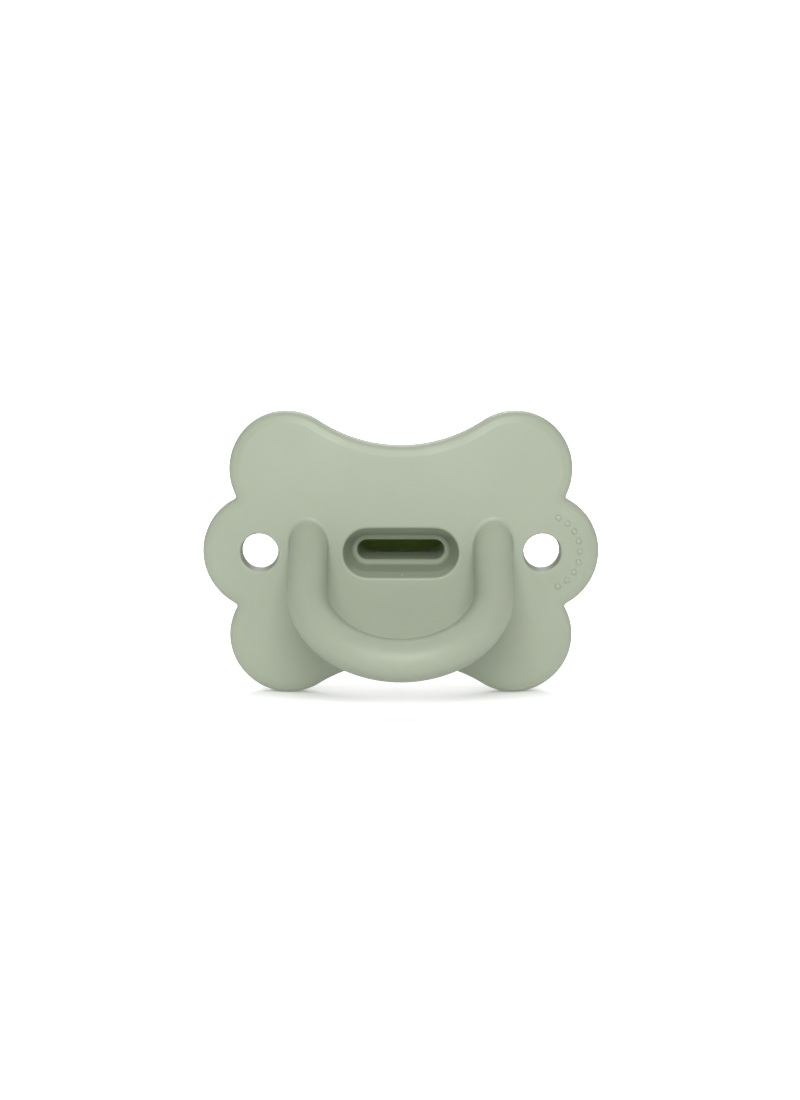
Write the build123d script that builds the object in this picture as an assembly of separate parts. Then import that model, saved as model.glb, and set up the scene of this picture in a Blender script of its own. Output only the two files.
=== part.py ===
from build123d import *

import os
from math import cos, radians, sin, sqrt

# Silicone pacifier: a butterfly shield, a U-shaped handle on two flared roots, and a hollow flat-necked teat.
#
# Millimetres. X is to the right as the front is seen, +Y points from the shield to the mouth, and +Z is up.
# The origin is the centre of the slot into the teat, in the plane of the flat ledge around the slot.
# The real object bends where its silicone is thin, so each bending place is a hinge here: a round end in a
# round seat, with running room between them.

# Driving dimensions of the shield. A corner lobe's centre and a cut-out are each given by how far out they are
# from the middle: right or left, and up for the nose side or down for the chin side. VENT is the right vent
# hole's X and Z.
SHIELD_WIDTH = 56.0
SHIELD_THICKNESS = 3.0
SHIELD_CROWN_RADIUS = 140.0
SIDE_LOBE_RADIUS = 8.35
SIDE_LOBE_Z = -0.25
CORNER_LOBE_RADIUS = 8.2
UPPER_LOBE = (16.0, 11.5)
LOWER_LOBE = (16.1, 12.3)
NOSE_CUTOUT_Z = 15.0
CHIN_CUTOUT_Z = 15.75
CUSP_RADIUS = 0.5
RIM_RADIUS = 1.2
VENT = (19.9, -0.15)
VENT_RADIUS = 2.7
VENT_EDGE_RADIUS = 0.35

# The mark on one wing: an arc of raised pips round the vent hole.
PIP_COUNT = 9
PIP_RADIUS = 0.42
PIP_HEIGHT = 0.2
PIP_ARC_RADIUS = 5.4
PIP_ARC_SPAN = 130.0

# The recess in the shield's middle, its ledge and the slot into the teat.
RECESS_DEPTH = 3.6
RECESS_MOUTH = (16.6, 7.3)
RECESS_LEDGE = (13.6, 4.2)
SLOT = (12.3, 2.8)

# The collar behind the shield, which holds the teat's root.
COLLAR = (18.6, 9.2)
COLLAR_INSET = 1.0
COLLAR_REACH = 3.2
COLLAR_EDGE_RADIUS = 0.8

# The teat. Half sizes are half widths across X and half thicknesses across Z.
TEAT_PIVOT_Y = 4.0
TEAT_TIP_Y = 30.4
TEAT_WALL = 1.4
NECK_HALF = (7.4, 2.85)
WAIST_HALF = (6.9, 2.75)
BULB_HALF = (8.75, 5.25)
WAIST_Y = 9.0
BULB_Y = 21.5
NECK_SQUARENESS = 3.2
BULB_SQUARENESS = 2.2

# The handle: a round bar bent to a U, in a plane that leans out from the shield.
HANDLE_BAR_RADIUS = 2.88
HANDLE_HALF_SPAN = 12.95
HANDLE_LEG = 8.5
HANDLE_LEAN = 52.0
HANDLE_PIVOT_ALONG_LEG = 4.4
ROOT_Z = 1.1
ROOT_RADIUS = 3.5
ROOT_LIP_BEHIND_PIVOT = 1.7

# Room between a round end and its seat.
PIVOT_GAP = 0.3

# What the dimensions above fix.
FRONT_APEX_Y = -RECESS_DEPTH
BACK_APEX_Y = FRONT_APEX_Y + SHIELD_THICKNESS
CROWN_CENTRE_Y = FRONT_APEX_Y + SHIELD_CROWN_RADIUS
SIDE_LOBE_X = SHIELD_WIDTH / 2 - SIDE_LOBE_RADIUS
COLLAR_FRONT_Y = BACK_APEX_Y - COLLAR_INSET
ROOT_FACE_Y = CROWN_CENTRE_Y - sqrt(SHIELD_CROWN_RADIUS**2 - HANDLE_HALF_SPAN**2 - ROOT_Z**2)
LEG_Y = -sin(radians(HANDLE_LEAN))
LEG_Z = -cos(radians(HANDLE_LEAN))
FAR = 30.0


def facing(y, x=0.0, z=0.0):
    """A plane parallel to the shield, at that Y, with X to the right and Z up in it."""
    return Plane(origin=(x, y, z), x_dir=(1, 0, 0), z_dir=(0, -1, 0))


def stadium(size, y, grow=0.0):
    """A slot-shaped face across X, parallel to the shield."""
    width, height = size[0] + 2 * grow, size[1] + 2 * grow
    return facing(y) * SlotOverall(width, height)


def x_cylinder(radius, y, z, length, x=0.0):
    """A cylinder along X."""
    return Location((x, y, z), (0, 90, 0)) * Cylinder(radius, length)


def lobe_crossing(up, lobe):
    """The cusp where a corner lobe and a side lobe cross, on the outside. up is 1 or, on the chin side, -1."""
    dx, dz = SIDE_LOBE_X - lobe[0], up * SIDE_LOBE_Z - lobe[1]
    apart = sqrt(dx * dx + dz * dz)
    along = (apart**2 + CORNER_LOBE_RADIUS**2 - SIDE_LOBE_RADIUS**2) / (2 * apart)
    across = sqrt(CORNER_LOBE_RADIUS**2 - along**2)
    x = lobe[0] + (along * dx - across * dz) / apart
    z = lobe[1] + (along * dz + across * dx) / apart
    return x, z


def cutout_radius(lobe, cutout_z):
    """The radius of the hollow arc at top or bottom that is tangent to both corner lobes."""
    rise = cutout_z - lobe[1]
    return (lobe[0] ** 2 + rise**2 - CORNER_LOBE_RADIUS**2) / (2 * (CORNER_LOBE_RADIUS - rise))


def shield_outline():
    """The butterfly: three lobes a side, with a hollow arc for the nose and one for the chin."""
    edges = []
    cusps = []
    for up, lobe, cutout_z in ((1, UPPER_LOBE, NOSE_CUTOUT_Z), (-1, LOWER_LOBE, CHIN_CUTOUT_Z)):
        cusp_x, cusp_z = lobe_crossing(up, lobe)
        cusps.append((cusp_x, up * cusp_z))
        lobe_x = lobe[0] + CORNER_LOBE_RADIUS * cos(radians(45))
        lobe_z = lobe[1] + CORNER_LOBE_RADIUS * sin(radians(45))
        hollow = cutout_radius(lobe, cutout_z)
        share = hollow / (hollow + CORNER_LOBE_RADIUS)
        join_x = lobe[0] * share
        join_z = (cutout_z + hollow) * (1 - share) + lobe[1] * share
        edges.append(ThreePointArc((-join_x, up * join_z), (0, up * cutout_z), (join_x, up * join_z)))
        for side in (1, -1):
            start, end = (side * join_x, up * join_z), (side * cusp_x, up * cusp_z)
            edges.append(ThreePointArc(start, (side * lobe_x, up * lobe_z), end))
    for side in (1, -1):
        top, bottom = [(side * x, z) for x, z in cusps]
        edges.append(ThreePointArc(top, (side * SHIELD_WIDTH / 2, SIDE_LOBE_Z), bottom))
    outline = make_face(edges)
    sharp = []
    for x, z in cusps:
        sharp += outline.vertices().filter_by(lambda v: abs(abs(v.X) - x) < 0.01 and abs(v.Y - z) < 0.01)
    return fillet(sharp, CUSP_RADIUS)


def crown_ball(inset=0.0):
    """The ball whose near side is the shield's front face, or a face that far behind it."""
    return Location((0, CROWN_CENTRE_Y, 0)) * Sphere(SHIELD_CROWN_RADIUS - inset)


def recess():
    """The tapered recess, from its ledge out past the shield's face."""
    flare = (RECESS_MOUTH[0] - RECESS_LEDGE[0]) / 2 / RECESS_DEPTH
    reach = RECESS_DEPTH + 1.0
    return loft([stadium(RECESS_LEDGE, 0.0), stadium(RECESS_LEDGE, -reach, flare * reach)])


def shield_plate():
    block = extrude(facing(FRONT_APEX_Y - 2.0) * shield_outline(), -FAR)
    plate = block & (crown_ball() - crown_ball(SHIELD_THICKNESS))
    rims = plate.faces().filter_by(GeomType.SPHERE).edges()
    plate = fillet(rims, RIM_RADIUS)
    for side in (1, -1):
        vent = Location((side * VENT[0], 0, VENT[1]), (90, 0, 0)) * Cylinder(VENT_RADIUS, FAR)
        plate -= vent
        wall = plate.faces().filter_by(GeomType.CYLINDER)
        wall = wall.filter_by(lambda f: abs(f.radius - VENT_RADIUS) < 0.01 and f.center().X * side > 0)
        plate = fillet(wall.edges().filter_by(lambda e: e.length > VENT_RADIUS * 5), VENT_EDGE_RADIUS)
    plate -= recess()
    return plate - extrude(stadium(COLLAR, COLLAR_FRONT_Y), -FAR)


def shield_mark():
    """The raised pips, each standing on the shield's front face."""
    skin = crown_ball(-PIP_HEIGHT) - crown_ball()
    pips = []
    for i in range(PIP_COUNT):
        angle = radians((i / (PIP_COUNT - 1) - 0.5) * PIP_ARC_SPAN)
        x, z = VENT[0] + PIP_ARC_RADIUS * cos(angle), VENT[1] + PIP_ARC_RADIUS * sin(angle)
        pip = extrude(facing(FRONT_APEX_Y - 1.0, x, z) * Circle(PIP_RADIUS), -FAR / 3)
        pips.append((pip & skin).solids().sort_by(Axis.Y)[0])
    return Compound(children=pips)


def teat_collar():
    """The boss behind the shield: the recess's floor, the slot and the seat that the teat's neck turns in."""
    collar = extrude(stadium(COLLAR, COLLAR_FRONT_Y), COLLAR_FRONT_Y - COLLAR_REACH)
    collar = fillet(collar.faces().sort_by(Axis.Y)[-1].edges(), COLLAR_EDGE_RADIUS)
    collar -= recess()
    collar -= extrude(stadium(SLOT, -1.0), -FAR)
    seat_width = 2 * (NECK_HALF[0] + PIVOT_GAP)
    return collar - x_cylinder(NECK_HALF[1] + PIVOT_GAP, TEAT_PIVOT_Y, 0, seat_width)


def smooth(t):
    t = min(1.0, max(0.0, t))
    return t * t * (3 - 2 * t)


def teat_half_sizes(y, wall=0.0):
    """Half width, half thickness and squareness of the teat at that Y, or of the hollow a wall inside it."""
    half = []
    for neck, waist, bulb in zip(NECK_HALF, WAIST_HALF, BULB_HALF, strict=True):
        if y < WAIST_Y:
            size = neck + (waist - neck) * smooth((y - TEAT_PIVOT_Y) / (WAIST_Y - TEAT_PIVOT_Y))
        elif y < BULB_Y:
            size = waist + (bulb - waist) * smooth((y - WAIST_Y) / (BULB_Y - WAIST_Y))
        else:
            share = (y - BULB_Y) / (TEAT_TIP_Y - wall - BULB_Y)
            size = (bulb - wall) * sqrt(max(0.0, 1 - share * share)) + wall
        half.append(size - wall)
    turn = smooth((y - TEAT_PIVOT_Y) / (BULB_Y - TEAT_PIVOT_Y))
    return half[0], half[1], NECK_SQUARENESS + (BULB_SQUARENESS - NECK_SQUARENESS) * turn


def teat_section(y, wall=0.0):
    """One closed cross-section of the teat: a rounded oblong, flat in the neck and fuller in the bulb."""
    half_x, half_z, squareness = teat_half_sizes(y, wall)
    power, count = 2 / squareness, 24
    points = []
    for i in range(count):
        c, s = cos(radians(360 * i / count)), sin(radians(360 * i / count))
        x = half_x * abs(c) ** power * (1 if c >= 0 else -1)
        z = half_z * abs(s) ** power * (1 if s >= 0 else -1)
        points.append((x, y, z))
    return make_face(Spline(*points, periodic=True))


def teat_body(wall, tip_y):
    """The teat's outside, or its hollow, from the pivot to the tip."""
    ys = [TEAT_PIVOT_Y, 6.5, WAIST_Y, 12.5, 16.0, 19.0, BULB_Y]
    rest = tip_y - BULB_Y
    ys += [BULB_Y + rest * share for share in (0.35, 0.62, 0.82, 0.94, 0.99)]
    return loft([teat_section(y, wall) for y in ys])


def teat():
    outside = teat_body(0.0, TEAT_TIP_Y)
    round_end = extrude(teat_section(TEAT_PIVOT_Y), NECK_HALF[1] + 1, dir=(0, -1, 0))
    round_end &= x_cylinder(NECK_HALF[1], TEAT_PIVOT_Y, 0, FAR)
    hollow = teat_body(TEAT_WALL, TEAT_TIP_Y - TEAT_WALL)
    way_in = extrude(teat_section(TEAT_PIVOT_Y, TEAT_WALL), NECK_HALF[1] + 1, dir=(0, -1, 0))
    return (outside + round_end) - (hollow + way_in)


def on_handle(x, along):
    """A point of the handle's plane: x across, and that far down the leg from the shield's face."""
    return Vector(x, ROOT_FACE_Y + along * LEG_Y, ROOT_Z + along * LEG_Z)


def leg_cylinder(side, radius, start, end):
    """A cylinder round one leg's axis, between two distances from the shield's face."""
    plane = Plane(origin=on_handle(side * HANDLE_HALF_SPAN, start), x_dir=(1, 0, 0), z_dir=(0, LEG_Y, LEG_Z))
    return extrude(plane * Circle(radius), end - start)


def pivot_cylinder(side, radius):
    pivot = on_handle(side * HANDLE_HALF_SPAN, HANDLE_PIVOT_ALONG_LEG)
    return x_cylinder(radius, pivot.Y, pivot.Z, 3 * ROOT_RADIUS, pivot.X)


def handle_root(side):
    """The flared stub of the shield that one leg grows out of, with the seat that the leg bends in."""
    stub = leg_cylinder(side, ROOT_RADIUS, -FAR / 4, HANDLE_PIVOT_ALONG_LEG - ROOT_LIP_BEHIND_PIVOT)
    stub -= crown_ball()
    return stub - pivot_cylinder(side, HANDLE_BAR_RADIUS + PIVOT_GAP)


def handle_loop():
    """The U: two legs with round ends and a half-circle between them."""
    left, right = -HANDLE_HALF_SPAN, HANDLE_HALF_SPAN
    bend, bottom = HANDLE_LEG, HANDLE_LEG + HANDLE_HALF_SPAN
    path = Line(on_handle(left, HANDLE_PIVOT_ALONG_LEG), on_handle(left, bend))
    path += ThreePointArc(on_handle(left, bend), on_handle(0, bottom), on_handle(right, bend))
    path += Line(on_handle(right, bend), on_handle(right, HANDLE_PIVOT_ALONG_LEG))
    start = Plane(origin=on_handle(left, HANDLE_PIVOT_ALONG_LEG), x_dir=(1, 0, 0), z_dir=(0, LEG_Y, LEG_Z))
    loop = sweep(start * Circle(HANDLE_BAR_RADIUS), path=path)
    for side in (1, -1):
        end_start = HANDLE_PIVOT_ALONG_LEG - HANDLE_BAR_RADIUS
        end = leg_cylinder(side, HANDLE_BAR_RADIUS, end_start, HANDLE_PIVOT_ALONG_LEG)
        loop += end & pivot_cylinder(side, HANDLE_BAR_RADIUS)
    return loop


PARTS = {
    "shield_plate": shield_plate,
    "shield_mark": shield_mark,
    "teat_collar": teat_collar,
    "handle_root_left": lambda: handle_root(-1),
    "handle_root_right": lambda: handle_root(1),
    "handle_loop": handle_loop,
    "teat": teat,
}

os.makedirs("parts", exist_ok=True)
for name, build in PARTS.items():
    export_step(build(), f"parts/{name}.step")
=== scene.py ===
from math import atan2, cos, hypot, pi, radians, sin, sqrt

import bmesh
import bpy
import numpy as np
from mathutils import Matrix, Vector


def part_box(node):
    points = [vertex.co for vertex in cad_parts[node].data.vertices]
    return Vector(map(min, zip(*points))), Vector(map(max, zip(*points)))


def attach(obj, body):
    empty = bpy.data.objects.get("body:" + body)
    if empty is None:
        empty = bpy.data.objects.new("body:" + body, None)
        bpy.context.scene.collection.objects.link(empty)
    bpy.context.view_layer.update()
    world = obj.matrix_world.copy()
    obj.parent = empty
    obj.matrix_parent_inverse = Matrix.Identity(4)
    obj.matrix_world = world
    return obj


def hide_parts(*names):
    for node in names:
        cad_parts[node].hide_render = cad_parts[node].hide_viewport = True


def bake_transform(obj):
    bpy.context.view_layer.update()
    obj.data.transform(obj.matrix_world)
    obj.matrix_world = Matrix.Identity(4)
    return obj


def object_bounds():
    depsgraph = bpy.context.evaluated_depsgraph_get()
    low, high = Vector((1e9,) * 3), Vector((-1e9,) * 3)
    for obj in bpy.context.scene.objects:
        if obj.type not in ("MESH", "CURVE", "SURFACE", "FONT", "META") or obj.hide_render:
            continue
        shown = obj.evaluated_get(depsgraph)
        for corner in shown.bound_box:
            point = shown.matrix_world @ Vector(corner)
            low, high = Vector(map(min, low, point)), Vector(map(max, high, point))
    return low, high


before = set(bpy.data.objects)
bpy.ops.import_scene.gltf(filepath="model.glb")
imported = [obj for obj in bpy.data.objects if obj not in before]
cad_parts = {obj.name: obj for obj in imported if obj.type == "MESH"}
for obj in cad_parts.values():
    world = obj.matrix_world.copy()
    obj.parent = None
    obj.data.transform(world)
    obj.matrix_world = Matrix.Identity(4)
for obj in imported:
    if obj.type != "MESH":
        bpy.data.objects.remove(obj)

CAD_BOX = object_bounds()

# A silicone pacifier: butterfly shield, U-shaped handle, hollow teat, all one soft moulding in sage green.
#
# The silicone is described by a field: at any point, in millimetres of the CAD frame, its value is the
# distance out of the silicone, negative inside. Fillets and rolled edges are part of the field. Its zero
# surface is meshed once, cut along flat planes into the pieces that the CAD has, and each piece is closed.

MM = 0.001

# An edge that is buried in the silicone, and a guard against dividing by nothing.
BURIED_EDGE_RADIUS = 0.1
TINY = 1e-6

# The shield's outline: three lobes a side, and a hollow for the nose and one for the chin.
shield_low, shield_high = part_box("shield_plate")
SHIELD_HALF_WIDTH = shield_high.x / MM
SIDE_LOBE_RADIUS = 8.35
SIDE_LOBE_X = SHIELD_HALF_WIDTH - SIDE_LOBE_RADIUS
SIDE_LOBE_Z = -0.25
CORNER_LOBE_RADIUS = 8.2
UPPER_LOBE = (16.0, 11.5)
LOWER_LOBE = (16.1, 12.3)
NOSE_CUTOUT_Z = 15.0
CHIN_CUTOUT_Z = 15.75
CUSP_RADIUS = 0.5

# Its section: a domed plate whose front rolls off near the edge, at a steady slope after a short bend.
FRONT_APEX_Y = shield_low.y / MM
PLATE_THICKNESS = 3.0
CROWN_RADIUS = 140.0
CROWN_CENTRE_Y = FRONT_APEX_Y + CROWN_RADIUS
ROLL_WIDTH = 1.55
ROLL_SLOPE = 0.27
ROLL_BEND = 0.2
FRONT_EDGE_RADIUS = 0.7
BACK_EDGE_RADIUS = 1.0
VENT = (19.9, -0.15)
VENT_RADIUS = 2.7
VENT_DRAFT = 0.07
VENT_EDGE_RADIUS = 0.18

# The recess, its ledge and the slot: full width and full height of each stadium.
RECESS_DEPTH = 3.6
RECESS_FLARE = 1.55
LEDGE = (13.6, 4.2)
SLOT = (12.3, 2.8)
SLOT_DEPTH = 4.4
SLOT_TAPER = 0.3
SLOT_OVERLAP = 0.5
SLOT_END_FILLET = 0.05
HOLLOW_EDGE_RADIUS = 0.15
RECESS_EDGE_RADIUS = 0.22
RECESS_CORNER_RADIUS = 0.35
SLOT_LIP_RADIUS = 0.2

# The boss behind the shield.
BOSS = (18.6, 9.2)
BOSS_FRONT_Y = -1.6
BOSS_BACK_Y = 3.2
BOSS_EDGE_RADIUS = 0.9
BOSS_FILLET = 1.1
NECK_FILLET = 0.9

# The teat. Half sizes are half widths across X and half thicknesses across Z.
TEAT_PIVOT_Y = 4.0
TEAT_TIP_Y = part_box("teat")[1].y / MM
TEAT_WALL = 1.0
NECK_HALF = (7.4, 2.85)
WAIST_HALF = (6.9, 2.75)
BULB_HALF = (8.75, 5.25)
WAIST_Y = 9.0
BULB_Y = 21.5
NECK_SQUARENESS = 3.2
BULB_SQUARENESS = 2.2
TEAT_START_Y = 0.6

# The handle, a round bar in a plane that leans out from the shield. Lengths along a leg start at the face.
LEG_RADIUS = 2.78
BEND_RADIUS = 2.95
HANDLE_HALF_SPAN = 12.95
HANDLE_LEG = 8.5
HANDLE_LEAN = radians(52)
ROOT_FILLET = 0.35
ROOT_Z = 1.1
ROOT_Y = CROWN_CENTRE_Y - sqrt(CROWN_RADIUS**2 - HANDLE_HALF_SPAN**2 - ROOT_Z**2)
LEG_Y, LEG_Z = -sin(HANDLE_LEAN), -cos(HANDLE_LEAN)

# Where the skin is cut into pieces.
ROOT_CUT_Y = FRONT_APEX_Y - 0.15
HANDLE_CUT_ALONG_LEG = 5.2
RECESS_CUT_Y = -0.32
BOSS_CUT_Y = 0.55
TEAT_CUT_Y = 3.7

# Which faces a cut may touch: how far out round the neck, how far in for the recess, and how near the cut.
NECK_MARGIN = 2.5
RECESS_MARGIN = 1.0
CUT_REACH = 1.0
CUT_TOLERANCE = 1e-5

# An open rim whose middle is further out than this goes round a leg, and any other round the teat's axis.
LEG_RIM_X = 1.0

# The mesh.
STEP = 0.25
BLOCK = 8
BLOCK_REACH = 1.5
CHUNK = 200_000
SLOPE_STEP = 0.02
LATTICE_MARGIN = 1.5
SETTLE_ROUNDS = 3
RELAX_ROUNDS = 2


# ---------------------------------------------------------------- the field

def both(a, b, radius):
    """Where two solids overlap, with the edge between them rounded to that radius."""
    corner = np.hypot(np.maximum(a + radius, 0), np.maximum(b + radius, 0))
    return np.minimum(-radius, np.maximum(a, b)) + corner


def either(a, b, radius):
    """Two solids together, with a fillet of that radius between them."""
    return -both(-a, -b, radius)


def smooth(t):
    """Rises smoothly from 0 to 1 as t does."""
    t = np.clip(t, 0, 1)
    return t * t * (3 - 2 * t)


def stadium(x, z, size):
    """Distance out of a slot shape of that full width and height."""
    radius = size[1] / 2
    return np.hypot(np.maximum(x - (size[0] / 2 - radius), 0), z) - radius


def outer_crossing(a, a_radius, b, b_radius):
    """Where a circle above and a circle below it cross, on the right."""
    dx, dz = b[0] - a[0], b[1] - a[1]
    apart = hypot(dx, dz)
    along = (apart**2 + a_radius**2 - b_radius**2) / (2 * apart)
    across = sqrt(a_radius**2 - along**2)
    return a[0] + (along * dx - across * dz) / apart, a[1] + (along * dz + across * dx) / apart


def direction(a, b):
    """The direction of b as seen from a."""
    return atan2(b[1] - a[1], b[0] - a[0])


def arc(centre, radius, start, end, outward):
    """An arc from one direction anticlockwise to another. outward is 1 on a lobe, -1 on a hollow."""
    half = (end - start) % (2 * pi) / 2
    return centre, radius, start + half, half, outward


def quarter_arcs(up, corner, cutout_z):
    """The tangent arcs of a quarter of the outline, with up away from the middle: hollow to side lobe."""
    rise = cutout_z - corner[1]
    radius = (corner[0] ** 2 + rise**2 - CORNER_LOBE_RADIUS**2) / (2 * (CORNER_LOBE_RADIUS - rise))
    hollow, side = (0, cutout_z + radius), (SIDE_LOBE_X, up * SIDE_LOBE_Z)
    cusp = outer_crossing(corner, CORNER_LOBE_RADIUS + CUSP_RADIUS, side, SIDE_LOBE_RADIUS + CUSP_RADIUS)
    return [
        arc(hollow, radius, -pi / 2, direction(hollow, corner), -1),
        arc(corner, CORNER_LOBE_RADIUS, direction(corner, cusp), direction(corner, hollow), 1),
        arc(cusp, CUSP_RADIUS, direction(cusp, corner), direction(cusp, side), -1),
        arc(side, SIDE_LOBE_RADIUS, 0, direction(side, cusp), 1),
    ]


OUTLINE = [(1, a) for a in quarter_arcs(1, UPPER_LOBE, NOSE_CUTOUT_Z)]
OUTLINE += [(-1, a) for a in quarter_arcs(-1, LOWER_LOBE, CHIN_CUTOUT_Z)]


def outline(x, z):
    """Distance out of the shield's outline."""
    nearest, side = np.full(x.shape, np.inf), np.ones(x.shape)
    for up, (centre, radius, middle, half, outward) in OUTLINE:
        dx, dz = x - centre[0], up * z - centre[1]
        turn = (np.arctan2(dz, dx) - middle + pi) % (2 * pi) - pi
        there = middle + np.clip(turn, -half, half)
        gap = np.hypot(dx - radius * np.cos(there), dz - radius * np.sin(there))
        closer = gap < nearest
        nearest = np.where(closer, gap, nearest)
        side = np.where(closer, outward * (np.hypot(dx, dz) - radius), side)
    return np.copysign(nearest, side)


def plate(x, z, depth):
    """The butterfly plate with its vent holes. depth is the distance behind the front's crown."""
    edge = outline(x, z)
    roll = ROLL_SLOPE * (np.hypot(np.maximum(edge + ROLL_WIDTH, 0), ROLL_BEND) - ROLL_BEND)
    solid = both(edge, roll - depth, FRONT_EDGE_RADIUS)
    solid = both(solid, depth - PLATE_THICKNESS, BACK_EDGE_RADIUS)
    vent = VENT_RADIUS - VENT_DRAFT * np.clip(depth, 0, PLATE_THICKNESS)
    return both(solid, vent - np.hypot(x - VENT[0], z - VENT[1]), VENT_EDGE_RADIUS)


def boss(x, y, z):
    """The collar behind the plate that the teat's neck grows out of."""
    solid = both(stadium(x, z, BOSS), y - BOSS_BACK_Y, BOSS_EDGE_RADIUS)
    return both(solid, BOSS_FRONT_Y - y, BURIED_EDGE_RADIUS)


def recess(x, y, z):
    """The tapered recess in front of the ledge."""
    flare = RECESS_FLARE / RECESS_DEPTH
    wall = (stadium(x, z, LEDGE) + flare * y) / hypot(1, flare)
    return both(wall, y, RECESS_CORNER_RADIUS)


def teat(x, y, z, wall=0.0):
    """The teat's outside, or its hollow, a wall inside it."""
    to_waist = smooth((y - TEAT_PIVOT_Y) / (WAIST_Y - TEAT_PIVOT_Y))
    to_bulb = smooth((y - WAIST_Y) / (BULB_Y - WAIST_Y))
    half = []
    for neck, waist, bulb in zip(NECK_HALF, WAIST_HALF, BULB_HALF, strict=True):
        half.append(neck + (waist - neck) * to_waist + (bulb - waist) * to_bulb - wall)
    turn = smooth((y - TEAT_PIVOT_Y) / (BULB_Y - TEAT_PIVOT_Y))
    power = NECK_SQUARENESS + (BULB_SQUARENESS - NECK_SQUARENESS) * turn
    across = ((x / half[0]) ** power + (np.abs(z) / half[1]) ** power) ** (1 / power)
    beyond = np.maximum(y - BULB_Y, 0)
    reach = np.maximum(np.hypot(across, beyond / (TEAT_TIP_Y - wall - BULB_Y)), TINY)
    return np.sqrt(x * x + z * z + beyond**2) * (1 - 1 / reach)


def hollow(x, y, z):
    """The slot and the hollow inside the teat."""
    narrowing = SLOT_TAPER * np.maximum(y, 0) / SLOT_DEPTH
    slot = both(stadium(x, z, SLOT) + narrowing, y - SLOT_DEPTH - SLOT_OVERLAP, BURIED_EDGE_RADIUS)
    inside = both(teat(x, y, z, TEAT_WALL), SLOT_DEPTH - y, HOLLOW_EDGE_RADIUS)
    return either(slot, inside, SLOT_END_FILLET)


def handle(x, y, z, depth):
    """The U-shaped bar. Its legs run on into the plate."""
    along = (y - ROOT_Y) * LEG_Y + (z - ROOT_Z) * LEG_Z
    off = (y - ROOT_Y) * LEG_Z - (z - ROOT_Z) * LEG_Y
    on_leg = x - HANDLE_HALF_SPAN
    on_bend = np.hypot(x, along - HANDLE_LEG) - HANDLE_HALF_SPAN
    radius = LEG_RADIUS + (BEND_RADIUS - LEG_RADIUS) * smooth(along / (HANDLE_LEG + HANDLE_HALF_SPAN))
    bar = np.hypot(np.where(along < HANDLE_LEG, on_leg, on_bend), off) - radius
    return both(bar, depth - PLATE_THICKNESS / 2, BURIED_EDGE_RADIUS)


def silicone(points):
    """Distance out of the whole moulding."""
    x, y, z = np.abs(points[:, 0]), points[:, 1], points[:, 2]
    depth = CROWN_RADIUS - np.sqrt(x * x + (y - CROWN_CENTRE_Y) ** 2 + z * z)
    solid = either(plate(x, z, depth), boss(x, y, z), BOSS_FILLET)
    solid = either(solid, both(teat(x, y, z), TEAT_START_Y - y, BURIED_EDGE_RADIUS), NECK_FILLET)
    solid = both(solid, -recess(x, y, z), RECESS_EDGE_RADIUS)
    solid = both(solid, -hollow(x, y, z), SLOT_LIP_RADIUS)
    return either(solid, handle(x, y, z, depth), ROOT_FILLET)


# ---------------------------------------------------------------- meshing

def worked_out(points):
    """The field at many points, a batch at a time."""
    return np.concatenate([silicone(points[i:i + CHUNK]) for i in range(0, len(points), CHUNK)])


def lattice_values(low, high):
    """The field on a lattice, exact near the surface and only its sign elsewhere."""
    blocks = np.ceil((high - low) / (STEP * BLOCK)).astype(int)
    index = np.indices(blocks).reshape(3, -1).T
    rough = worked_out(low + (index + 0.5) * BLOCK * STEP)
    values = rough.reshape(blocks)
    for axis in range(3):
        values = np.repeat(values, BLOCK, axis)
    near = index[np.abs(rough) < BLOCK_REACH * BLOCK * STEP]
    inner = np.indices((BLOCK,) * 3).reshape(3, -1).T
    lattice = (near[:, None] * BLOCK + inner).reshape(-1, 3)
    values[tuple(lattice.T)] = worked_out(low + lattice * STEP)
    return values


def net_points(values, cells):
    """One point in each cell that the surface passes through: the mean of its crossings with the edges."""
    total, hits = np.zeros((len(cells), 3)), np.zeros((len(cells), 1))
    for axis in range(3):
        step = np.eye(3, dtype=int)[axis]
        for corner in range(4):
            start = np.insert([corner & 1, corner >> 1], axis, 0)
            first = values[tuple((cells + start).T)]
            second = values[tuple((cells + start + step).T)]
            cut = ((first < 0) != (second < 0))[:, None]
            share = (first / np.where(first == second, 1, first - second))[:, None]
            total += np.where(cut, start + share * step, 0)
            hits += cut
    return cells + total / hits


def net_quads(inside, number):
    """One quad round each lattice edge that the surface cuts, facing out."""
    quads = []
    for axis in range(3):
        u, v = np.eye(3, dtype=int)[(axis + 1) % 3], np.eye(3, dtype=int)[(axis + 2) % 3]
        first = inside[tuple(slice(0, -1) if i == axis else slice(1, -1) for i in range(3))]
        second = inside[tuple(slice(1, None) if i == axis else slice(1, -1) for i in range(3))]
        edges = np.argwhere(first != second)
        outward = first[tuple(edges.T)]
        base = edges + u + v
        around = [base - i * u - j * v for i, j in ((1, 1), (0, 1), (0, 0), (1, 0))]
        quad = np.stack([number[tuple(cells.T)] for cells in around], 1)
        quads.append(np.where(outward[:, None], quad, quad[:, ::-1]))
    return np.concatenate(quads)


def slope(points):
    """The field's gradient, which points straight out of the surface."""
    return np.stack([
        (worked_out(points + step) - worked_out(points - step)) / (2 * SLOPE_STEP)
        for step in np.eye(3) * SLOPE_STEP
    ], 1)


def settle(points, rounds):
    """Moves points onto the surface."""
    for _ in range(rounds):
        away = slope(points)
        move = worked_out(points)[:, None] * away / np.maximum((away**2).sum(1, keepdims=True), TINY)
        points = points - np.clip(move, -STEP / 2, STEP / 2)
    return points


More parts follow.
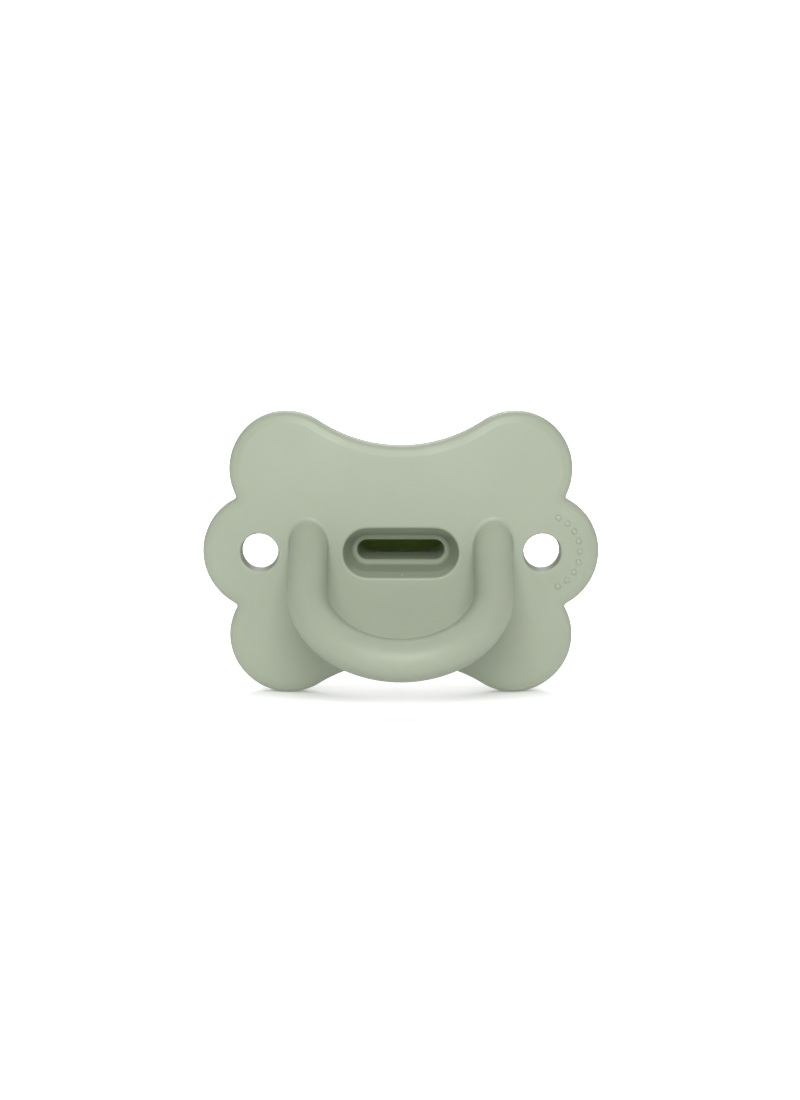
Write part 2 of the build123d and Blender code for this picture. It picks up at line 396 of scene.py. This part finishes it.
def relax(points, quads):
    """Evens out the mesh: each point moves half way to the mean of its neighbours."""
    ends = np.concatenate([quads[:, [i, (i + 1) % 4]] for i in range(4)])
    count = np.bincount(ends[:, 0], minlength=len(points))
    mean = np.stack([np.bincount(ends[:, 0], points[ends[:, 1], i], len(points)) for i in range(3)], 1)
    return (points + mean / count[:, None]) / 2


def skin():
    """The whole moulding's surface as points and quads."""
    low = np.array(CAD_BOX[0]) / MM - LATTICE_MARGIN
    high = np.array(CAD_BOX[1]) / MM + LATTICE_MARGIN
    values = lattice_values(low, high)
    inside = values < 0
    cells = tuple(n - 1 for n in inside.shape)
    count = np.zeros(cells, np.int8)
    for i, j, k in np.ndindex(2, 2, 2):
        count += inside[i:i + cells[0], j:j + cells[1], k:k + cells[2]]
    cut = np.argwhere((count > 0) & (count < 8))
    number = np.full(cells, -1)
    number[tuple(cut.T)] = np.arange(len(cut))
    quads = net_quads(inside, number)
    points = settle(low + net_points(values, cut) * STEP, SETTLE_ROUNDS)
    for _ in range(RELAX_ROUNDS):
        points = settle(relax(points, quads), 1)
    return settle(points, 1), quads


# ---------------------------------------------------------------- cutting into pieces

def along_leg(c):
    """How far down a leg of the handle a point is."""
    return (c.y - ROOT_Y) * LEG_Y + (c.z - ROOT_Z) * LEG_Z


def near_axis(c, margin):
    """Whether a point is within the boss's outline as seen from the front, widened by the margin."""
    return abs(c.x) < BOSS[0] / 2 + margin and abs(c.z) < BOSS[1] / 2 + margin


def near_neck(c):
    return near_axis(c, NECK_MARGIN)


def in_recess(c):
    return near_axis(c, -RECESS_MARGIN)


def near_cut(c, cut_y):
    return abs(c.y - cut_y) < CUT_REACH


def slice_faces(bm, point, normal, chosen):
    """Cuts the chosen faces along a plane."""
    faces = [f for f in bm.faces if chosen(f.calc_center_median())]
    edges = {e for f in faces for e in f.edges}
    corners = {v for f in faces for v in f.verts}
    parts = faces + list(edges) + list(corners)
    bmesh.ops.bisect_plane(bm, geom=parts, plane_co=point, plane_no=normal, dist=CUT_TOLERANCE)


def slice_all(bm):
    """Every cut between two pieces."""
    across = (0, 1, 0)
    down_leg = (0, LEG_Y, LEG_Z)
    cut_on_leg = (0, ROOT_Y + HANDLE_CUT_ALONG_LEG * LEG_Y, ROOT_Z + HANDLE_CUT_ALONG_LEG * LEG_Z)
    slice_faces(bm, (0, ROOT_CUT_Y, 0), across, lambda c: c.y < ROOT_CUT_Y + CUT_REACH)
    slice_faces(bm, cut_on_leg, down_leg, lambda c: c.y < ROOT_CUT_Y)
    slice_faces(bm, (0, RECESS_CUT_Y, 0), across, lambda c: in_recess(c) and near_cut(c, RECESS_CUT_Y))
    slice_faces(
        bm, (0, BOSS_CUT_Y, 0), across,
        lambda c: near_neck(c) and not in_recess(c) and near_cut(c, BOSS_CUT_Y),
    )
    slice_faces(bm, (0, TEAT_CUT_Y, 0), across, lambda c: near_neck(c) and near_cut(c, TEAT_CUT_Y))


def piece_of(c):
    """The piece that a face belongs to, from its middle."""
    if c.y < ROOT_CUT_Y:
        if along_leg(c) > HANDLE_CUT_ALONG_LEG:
            return "soft_handle"
        return "soft_root_left" if c.x < 0 else "soft_root_right"
    if near_neck(c):
        if c.y > TEAT_CUT_Y:
            return "soft_teat"
        if c.y > (RECESS_CUT_Y if in_recess(c) else BOSS_CUT_Y):
            return "soft_collar"
    return "soft_shield"


def open_loops(bm):
    """The open rims, each as a list of edges, always in the same order."""
    bm.edges.index_update()
    left = {e for e in bm.edges if e.is_boundary}
    loops = []
    while left:
        grow, loop = [left.pop()], []
        while grow:
            edge = grow.pop()
            loop.append(edge)
            more = {e for v in edge.verts for e in v.link_edges if e in left}
            left -= more
            grow.extend(more)
        loops.append(sorted(loop, key=lambda e: e.index))
    return sorted(loops, key=lambda edges: edges[0].index)


def close(bm):
    """Closes a piece: a cap on each cut leg, and a ring between each pair of cuts round the teat's axis."""
    round_axis = []
    for loop in open_loops(bm):
        middle = sum((v.co for e in loop for v in e.verts), Vector()) / (2 * len(loop))
        if abs(middle.x) > LEG_RIM_X:
            bmesh.ops.contextual_create(bm, geom=loop)
        else:
            round_axis.append((middle.y, loop))
    round_axis.sort(key=lambda pair: pair[0])
    for first, second in zip(round_axis[::2], round_axis[1::2], strict=True):
        bmesh.ops.bridge_loops(bm, edges=first[1] + second[1])


def shown(name, mesh, points, normals):
    """An object in metres, shaded by the given normals, with the silicone on it."""
    mesh.polygons.foreach_set("use_smooth", np.ones(len(mesh.polygons), bool))
    mesh.vertices.foreach_set("co", (points * MM).astype(np.float32).ravel())
    mesh.normals_split_custom_set_from_vertices(normals)
    mesh.materials.append(THIN_SILICONE if name == "soft_teat" else SILICONE)
    obj = bpy.data.objects.new(name, mesh)
    bpy.context.scene.collection.objects.link(obj)
    return obj


def mould():
    """The whole moulding as its pieces, by name."""
    points, quads = skin()
    mesh = bpy.data.meshes.new("moulding")
    mesh.from_pydata(points, [], quads)
    whole = bmesh.new()
    whole.from_mesh(mesh)
    bpy.data.meshes.remove(mesh)
    slice_all(whole)
    owner = [piece_of(f.calc_center_median()) for f in whole.faces]
    pieces = {}
    for name in sorted(set(owner)):
        part = whole.copy()
        part.faces.ensure_lookup_table()
        others = [f for f, has in zip(part.faces, owner, strict=True) if has != name]
        bmesh.ops.delete(part, geom=others, context="FACES")
        close(part)
        mesh = bpy.data.meshes.new(name)
        part.to_mesh(mesh)
        part.free()
        corners = np.array([v.co for v in mesh.vertices])
        away = slope(corners)
        pieces[name] = shown(name, mesh, corners, away / np.linalg.norm(away, axis=1, keepdims=True))
    whole.free()
    return pieces


# ---------------------------------------------------------------- small raised marks

PIP_COUNT = 9
PIP_RADIUS = 0.42
PIP_HEIGHT = 0.2
PIP_ARC_RADIUS = 5.4
PIP_ARC_SPAN = radians(130)
PIP_SINK = 0.06
PIP_SIDES = 28
PIP_RINGS = 7

# A speck on the recess's bottom wall, such as a mould's gate leaves.
GATE_X = 0.2
GATE_Y = -2.5
GATE_RADIUS = 0.3
GATE_HEIGHT = 0.16


def dome(bm, foot, normal, radius, height):
    """A low round pip standing on the skin."""
    turn = normal.to_track_quat("Z", "Y")
    rise = [pi / 2 * (i + 1) / PIP_RINGS for i in range(PIP_RINGS)]
    rings = [(radius * sin(angle), height * cos(angle)) for angle in rise]
    rings.append((radius, -PIP_SINK))
    top = bm.verts.new(foot + turn @ Vector((0, 0, height)))
    last = None
    for out, up in rings:
        ring = []
        for j in range(PIP_SIDES):
            angle = 2 * pi * j / PIP_SIDES
            ring.append(bm.verts.new(foot + turn @ Vector((out * cos(angle), out * sin(angle), up))))
        for j in range(PIP_SIDES):
            k = (j + 1) % PIP_SIDES
            bm.faces.new([top, ring[j], ring[k]] if last is None else [last[j], ring[j], ring[k], last[k]])
        last = ring
    bm.faces.new(last[::-1])


def raised(name, marks):
    """An object of low round marks, each with its foot, the skin's normal there, a radius and a height."""
    bm = bmesh.new()
    for mark in marks:
        dome(bm, *mark)
    mesh = bpy.data.meshes.new(name)
    bm.to_mesh(mesh)
    bm.free()
    mesh.polygons.foreach_set("use_smooth", np.ones(len(mesh.polygons), bool))
    mesh.transform(Matrix.Scale(MM, 4))
    mesh.materials.append(SILICONE)
    obj = bpy.data.objects.new(name, mesh)
    bpy.context.scene.collection.objects.link(obj)
    return obj


def wing_pips():
    """The arc of raised pips round the right vent hole."""
    marks = []
    for i in range(PIP_COUNT):
        angle = (i / (PIP_COUNT - 1) - 0.5) * PIP_ARC_SPAN
        x, z = VENT[0] + PIP_ARC_RADIUS * cos(angle), VENT[1] + PIP_ARC_RADIUS * sin(angle)
        y = CROWN_CENTRE_Y - sqrt(CROWN_RADIUS**2 - x * x - z * z)
        out = Vector((x, y - CROWN_CENTRE_Y, z)).normalized()
        marks.append((Vector((x, y, z)), out, PIP_RADIUS, PIP_HEIGHT))
    return marks


def gate_speck():
    """The speck in the recess, as one mark."""
    flare = RECESS_FLARE / RECESS_DEPTH
    foot = Vector((GATE_X, GATE_Y, flare * GATE_Y - LEDGE[1] / 2))
    return foot, Vector((0, -flare, 1)).normalized(), GATE_RADIUS, GATE_HEIGHT


# ---------------------------------------------------------------- material

# Each noise is its scale per metre and its detail. The grain's depth is in millimetres.
SAGE = ((0.315, 0.354, 0.269, 1), (0.33, 0.371, 0.283, 1))
SAGE_NOISE = (90, 3)
ROUGHNESS = ((0.4, 0.4, 0.4, 1), (0.5, 0.5, 0.5, 1))
ROUGHNESS_NOISE = (260, 4)
GRAIN_NOISE = (9000, 2)
GRAIN_STRENGTH = 0.12
GRAIN_DEPTH = 0.04
RAMP_ENDS = (0.3, 0.7)
INDEX_OF_REFRACTION = 1.41
SPECULAR = 0.62

# Painted shade: the walls of the recess and of the vent holes are darkened in the colour, where shade
# falls, so they are darker than the face.
# Two parts of the recess have less of it: its bottom wall near the mouth, the sill, and its top wall, the
# roof.
PAINTED_SHADE_TINT = (0.65, 0.67, 0.62, 1)
MOUTH_DEPTHS = (0.1, 0.35)
PAINTED_SHADE_ACROSS = (LEDGE[0] / 2 + 2.0, LEDGE[0] / 2 + 1.6)
PAINTED_SHADE_UP = (LEDGE[1] / 2 + 2.2, LEDGE[1] / 2 + 1.8)
SILL_DEPTHS = (-1.75, -2.0)
SILL_Z = (-1.6, -2.9)
SILL_SHARE = 0.5
ROOF_Z = (3.0, 1.6)
VENT_PAINTED_SHADE_WIDTH = 0.2

# Light goes further into the teat's thin wall, but for its root, which matches the collar.
TRANSLUCENCE = 0.25
TRANSLUCENT_REACH = 1.2
TRANSLUCENT_COLOUR = (1.0, 0.9, 0.6)
TEAT_TRANSLUCENCE = 1.0
TEAT_TRANSLUCENT_REACH = 2.8
TEAT_TRANSLUCENT_COLOUR = (0.85, 0.9, 0.7)
TEAT_TRANSLUCENT_Y = (TEAT_CUT_Y + 0.3, 2 * TEAT_CUT_Y)


def fill(tree, node, inputs):
    """Links each input of a node that is given as a socket, and sets the rest."""
    for key, value in inputs.items():
        if isinstance(value, bpy.types.NodeSocket):
            tree.links.new(value, node.inputs[key])
        else:
            node.inputs[key].default_value = value
    return node


def add(tree, kind, inputs, **settings):
    """A new node."""
    node = tree.nodes.new("ShaderNode" + kind)
    for key, value in settings.items():
        setattr(node, key, value)
    return fill(tree, node, inputs)


def new_material(name):
    """A material's node tree, its main shader and the place on the object."""
    material = bpy.data.materials.new(name)
    material.use_nodes = True
    tree = material.node_tree
    return material, tree, tree.nodes["Principled BSDF"], add(tree, "TexCoord", {}).outputs["Object"]


def noise(tree, place, kind):
    """Noise of a kind, which is its scale and its detail."""
    return add(tree, "TexNoise", {"Vector": place, "Scale": kind[0], "Detail": kind[1]}).outputs["Fac"]


def ramp(tree, value, colours):
    """A colour that goes from the first to the second as the value rises."""
    node = add(tree, "ValToRGB", {"Fac": value})
    for element, position, colour in zip(node.color_ramp.elements, RAMP_ENDS, colours, strict=True):
        element.position = position
        element.color = colour
    return node.outputs["Color"]


def maths(tree, operation, *values):
    return add(tree, "Math", dict(enumerate(values)), operation=operation).outputs["Value"]


def product(tree, first, *others):
    for other in others:
        first = maths(tree, "MULTIPLY", first, other)
    return first


def vectors(tree, operation, *values):
    return add(tree, "VectorMath", dict(enumerate(values)), operation=operation).outputs


def fade(tree, value, ends, levels=(0.0, 1.0)):
    """The first level at the first end and the second at the second. The ends are in millimetres."""
    inputs = {"Value": value, "To Min": levels[0], "To Max": levels[1]}
    inputs["From Min"], inputs["From Max"] = ends[0] * MM, ends[1] * MM
    return add(tree, "MapRange", inputs, interpolation_type="SMOOTHSTEP").outputs["Result"]


def painted_shade_share(tree, place):
    """How much painted shade each place has: in the recess and in the vent holes."""
    axes = add(tree, "SeparateXYZ", {"Vector": place}).outputs
    side = maths(tree, "ABSOLUTE", axes["X"])
    flat = vectors(tree, "MULTIPLY", place, (1, 0, 1))["Vector"]
    square = vectors(tree, "DOT_PRODUCT", flat, flat)["Value"]
    depth = maths(tree, "MULTIPLY_ADD", square, -0.5 / (CROWN_RADIUS * MM), axes["Y"])
    mouth = fade(tree, depth, [FRONT_APEX_Y + d for d in MOUTH_DEPTHS])

    across = fade(tree, side, PAINTED_SHADE_ACROSS)
    up = fade(tree, maths(tree, "ABSOLUTE", axes["Z"]), PAINTED_SHADE_UP)
    before_teat = fade(tree, axes["Y"], (TEAT_PIVOT_Y, BOSS_BACK_Y))
    sill = product(tree, fade(tree, depth, SILL_DEPTHS), fade(tree, axes["Z"], SILL_Z))
    left = maths(tree, "MULTIPLY_ADD", sill, -SILL_SHARE, fade(tree, axes["Z"], ROOF_Z))
    # Painted shade in the recess, less of it on the sill and the roof.
    recess = product(tree, across, up, mouth, before_teat, left)

    folded = add(tree, "CombineXYZ", {"X": side, "Z": axes["Z"]}).outputs["Vector"]
    from_vent = vectors(tree, "SUBTRACT", folded, (VENT[0] * MM, 0, VENT[1] * MM))["Vector"]
    gap = vectors(tree, "LENGTH", from_vent)["Value"]
    # Painted shade on the vent holes' walls.
    vent = product(tree, fade(tree, gap, (VENT_RADIUS + VENT_PAINTED_SHADE_WIDTH, VENT_RADIUS)), mouth)
    return maths(tree, "MAXIMUM", recess, vent)


def silicone_material(name, translucence, reach, colour):
    """Matte moulded silicone: sage green, a little translucent, with the mould's fine blasted grain, and
    painted shade in the recess and the vent holes.
    """
    material, tree, shader, place = new_material(name)
    sage = ramp(tree, noise(tree, place, SAGE_NOISE), SAGE)
    # Painted shade: the sage is multiplied by the darker tint in the recess and the vent holes.
    shade = {"Factor": painted_shade_share(tree, place), "A": sage, "B": PAINTED_SHADE_TINT}
    roughness = ramp(tree, noise(tree, place, ROUGHNESS_NOISE), ROUGHNESS)
    grain = {"Height": noise(tree, place, GRAIN_NOISE)}
    grain["Strength"], grain["Distance"] = GRAIN_STRENGTH, GRAIN_DEPTH * MM
    towards_tip = add(tree, "SeparateXYZ", {"Vector": place}).outputs["Y"]
    fill(tree, shader, {
        "Base Color": add(tree, "Mix", shade, data_type="RGBA", blend_type="MULTIPLY").outputs["Result"],
        "Roughness": roughness,
        "Normal": add(tree, "Bump", grain).outputs["Normal"],
        "IOR": INDEX_OF_REFRACTION,
        "Specular IOR Level": SPECULAR,
        "Subsurface Weight": fade(tree, towards_tip, TEAT_TRANSLUCENT_Y, (TRANSLUCENCE, translucence)),
        "Subsurface Radius": colour,
        "Subsurface Scale": reach * MM,
    })
    return material


SILICONE = silicone_material("sage_silicone", TRANSLUCENCE, TRANSLUCENT_REACH, TRANSLUCENT_COLOUR)
THIN_SILICONE = silicone_material(
    "thin_sage_silicone", TEAT_TRANSLUCENCE, TEAT_TRANSLUCENT_REACH, TEAT_TRANSLUCENT_COLOUR,
)


# ---------------------------------------------------------------- the object

def metres(x, y, z):
    return Vector((x, y, z)) * MM


pieces = mould()
raised_pips = raised("raised_pips", wing_pips())
recess_speck = raised("recess_speck", [gate_speck()])
STANDS_FOR = {
    "soft_shield": "shield_plate",
    "soft_collar": "teat_collar",
    "soft_root_left": "handle_root_left",
    "soft_root_right": "handle_root_right",
    "soft_handle": "handle_loop",
    "soft_teat": "teat",
}
for name, node in STANDS_FOR.items():
    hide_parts(node)
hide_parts("shield_mark")
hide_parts("shield_plate")

for name in ("soft_shield", "soft_collar"):
    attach(pieces[name], "shield")
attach(raised_pips, "shield")
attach(recess_speck, "shield")
for name in ("soft_root_left", "soft_root_right", "soft_handle"):
    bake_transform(pieces[name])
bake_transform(pieces["soft_teat"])


# ---------------------------------------------------------------- floor, light and camera

# In metres, but for where the floor's painted shadow ends and how far its painted contact shadow reaches,
# in millimetres.
FLOOR_SIZE = 6.0
FLOOR_CELLS = 4
FLOOR_Z = shield_low.z
FLOOR_COLOUR = (0.8, 0.8, 0.8, 1)
FLOOR_ROUGHNESS = 0.9
FLOOR_SHADOW_ENDS = (25, 55)
FLOOR_LIFT = (0.66, 1.0)
FLOOR_CONTACT_REACH = 9
FLOOR_CONTACT_POWER = 3
FLOOR_GLOW = 0.14
WHITE = (1, 1, 1, 1)
ROOM_STRENGTH = 0.44
BACKDROP_STRENGTH = 1.2
SOFTBOX_DISTANCE = 1.0
SOFTBOX_SIZE = 0.6
CAMERA_DISTANCE = 0.40
CAMERA_ELEVATION = radians(9)
CAMERA_LENS = 93.2
CAMERA_REACH = (0.01, 20)
LOOK_AT = metres(-0.12, -3.0, 0.39)


def floor_mesh():
    bm = bmesh.new()
    bmesh.ops.create_grid(bm, x_segments=FLOOR_CELLS, y_segments=FLOOR_CELLS, size=FLOOR_SIZE / 2)
    mesh = bpy.data.meshes.new("floor")
    bm.to_mesh(mesh)
    bm.free()
    return mesh


def floor_material():
    """White. The camera sees it lifted to plain white by emission, less so close to the object and by
    ambient occlusion: painted shadow on top of its real shadow there.
    """
    material, tree, shader, place = new_material("white_table")
    lift = fade(tree, vectors(tree, "LENGTH", place)["Value"], FLOOR_SHADOW_ENDS, FLOOR_LIFT)
    reach = {"Distance": FLOOR_CONTACT_REACH * MM}
    openness = add(tree, "AmbientOcclusion", reach).outputs["AO"]
    # Painted contact shadow: the camera's emission is lowered near the object and where ambient occlusion
    # finds it shut in.
    lifted = product(tree, lift, maths(tree, "POWER", openness, FLOOR_CONTACT_POWER))
    seen = add(tree, "LightPath", {}).outputs["Is Camera Ray"]
    fill(tree, shader, {
        "Base Color": FLOOR_COLOUR,
        "Roughness": FLOOR_ROUGHNESS,
        "Emission Color": WHITE,
        "Emission Strength": maths(tree, "MULTIPLY_ADD", seen, lifted, FLOOR_GLOW),
    })
    return material


def floor():
    """A plain white table that runs out of sight."""
    mesh = floor_mesh()
    obj = bpy.data.objects.new("floor", mesh)
    obj.location.z = FLOOR_Z
    bpy.context.scene.collection.objects.link(obj)
    mesh.materials.append(floor_material())


def softbox(name, azimuth, elevation, power):
    """A square area light aimed at the object. Azimuth 0 is in front."""
    light = bpy.data.lights.new(name, "AREA")
    light.shape = "SQUARE"
    light.size = SOFTBOX_SIZE
    light.energy = power
    obj = bpy.data.objects.new(name, light)
    a, e = radians(azimuth), radians(elevation)
    obj.location = LOOK_AT + SOFTBOX_DISTANCE * Vector((sin(a) * cos(e), -cos(a) * cos(e), sin(e)))
    obj.rotation_mode = "QUATERNION"
    obj.rotation_quaternion = (LOOK_AT - obj.location).to_track_quat("-Z", "Y")
    bpy.context.scene.collection.objects.link(obj)


def camera():
    """A long lens a little above level, square to the shield."""
    back = Vector((0, -cos(CAMERA_ELEVATION), sin(CAMERA_ELEVATION)))
    data = bpy.data.cameras.new("camera")
    data.lens = CAMERA_LENS
    data.clip_start, data.clip_end = CAMERA_REACH
    obj = bpy.data.objects.new("camera", data)
    obj.location = LOOK_AT + CAMERA_DISTANCE * back
    obj.rotation_mode = "QUATERNION"
    obj.rotation_quaternion = (-back).to_track_quat("-Z", "Y")
    bpy.context.scene.collection.objects.link(obj)
    bpy.context.scene.camera = obj


def white_room():
    """A white room. What the camera sees of it directly is plain white, whatever light it gives."""
    world = bpy.data.worlds.new("white_room")
    world.use_nodes = True
    tree = world.node_tree
    room = fill(tree, tree.nodes["Background"], {"Color": WHITE, "Strength": ROOM_STRENGTH})
    backdrop = add(tree, "Background", {"Color": WHITE, "Strength": BACKDROP_STRENGTH})
    seen = add(tree, "LightPath", {}).outputs["Is Camera Ray"]
    shaders = {1: room.outputs["Background"], 2: backdrop.outputs["Background"]}
    mix = add(tree, "MixShader", {0: seen, **shaders})
    fill(tree, tree.nodes["World Output"], {"Surface": mix.outputs["Shader"]})
    bpy.context.scene.world = world


floor()
white_room()
softbox("front_softbox", 0, 28, 8.2)
softbox("back_softbox", 180, 45, 5)
camera()
bpy.context.scene.view_settings.view_transform = "Standard"
